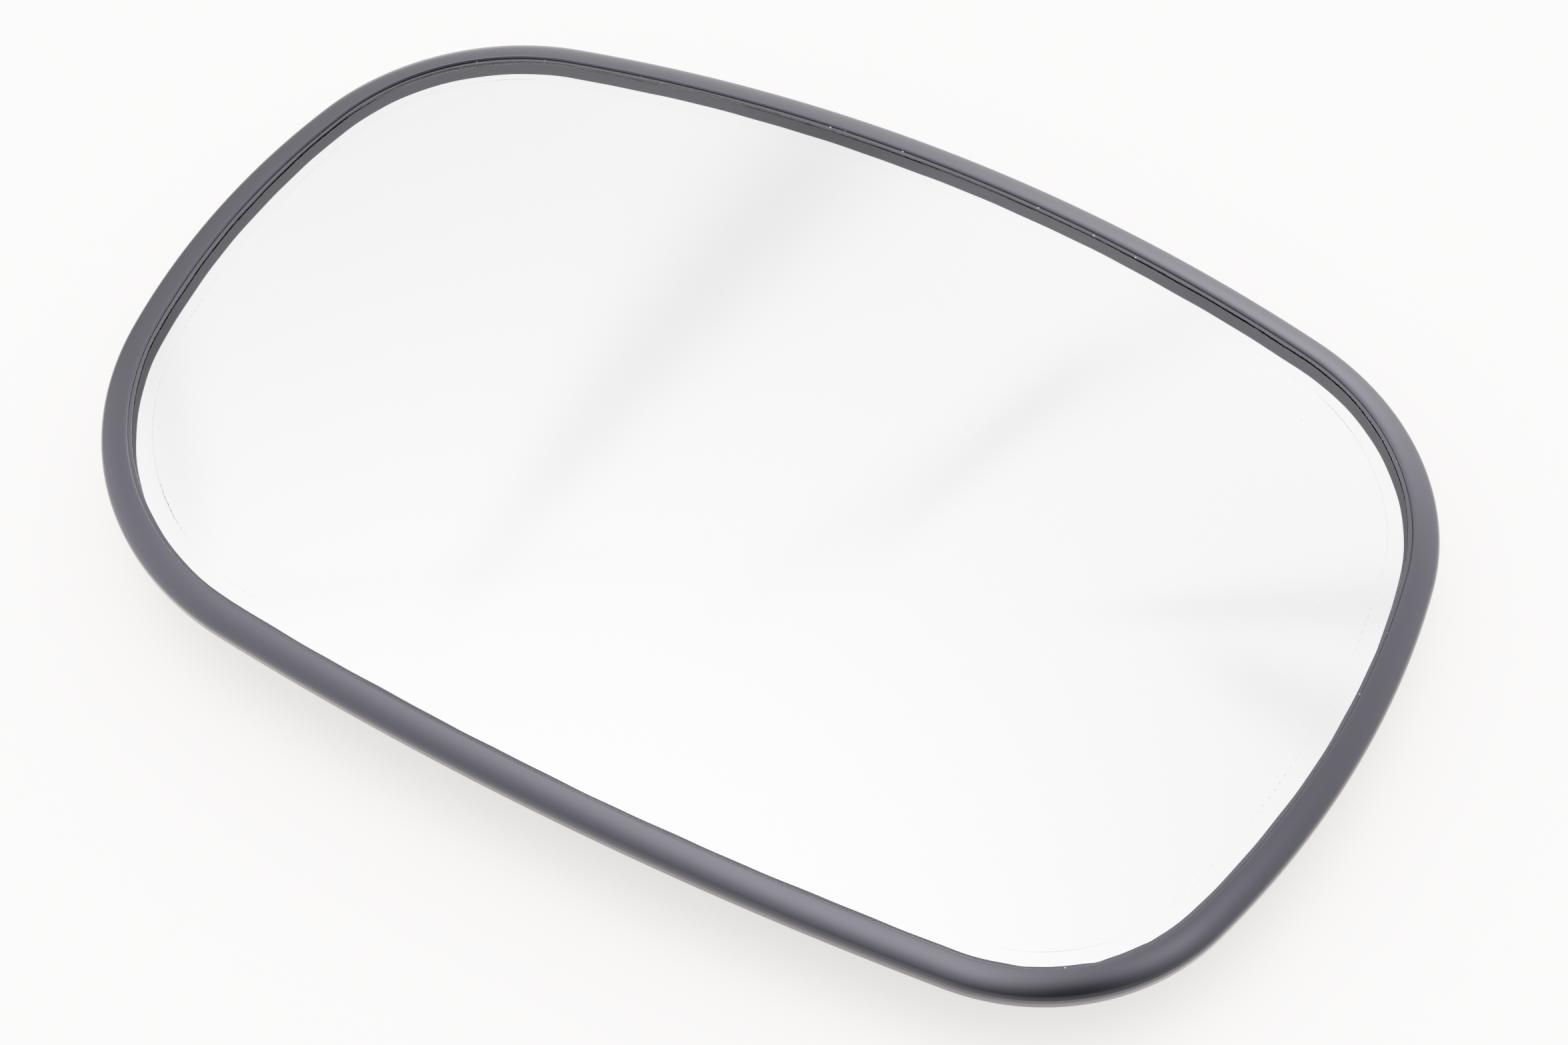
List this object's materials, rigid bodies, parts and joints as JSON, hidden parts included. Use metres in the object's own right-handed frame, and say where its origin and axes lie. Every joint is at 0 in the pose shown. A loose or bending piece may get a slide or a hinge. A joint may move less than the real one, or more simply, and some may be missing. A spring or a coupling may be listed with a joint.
{
  "type": "car door mirror glass",
  "caption": "Convex door mirror glass in a black rounded edge seal on a ribbed moulded holder, with a clip ring and ball sockets behind for the mirror actuator.",
  "frame": {"origin": "centre of the outline, in the plane of the clip ring's end face on which the insert rests", "axes": "+X along the long axis towards the tighter end, +Y across it, +Z out of the mirror face"},
  "size_m": [0.1724, 0.1179, 0.0151],
  "materials": {
    "mirror": "silvered behind clear glass",
    "foam": "fine closed foam",
    "holder": "fine spark grain",
    "seal": "satin"
  },
  "bodies": {
    "root": {"mirror_glass": "mirror", "bonding_pad": "foam", "mirror_holder": "holder", "edge_seal": "seal"}
  },
  "joints": []
}
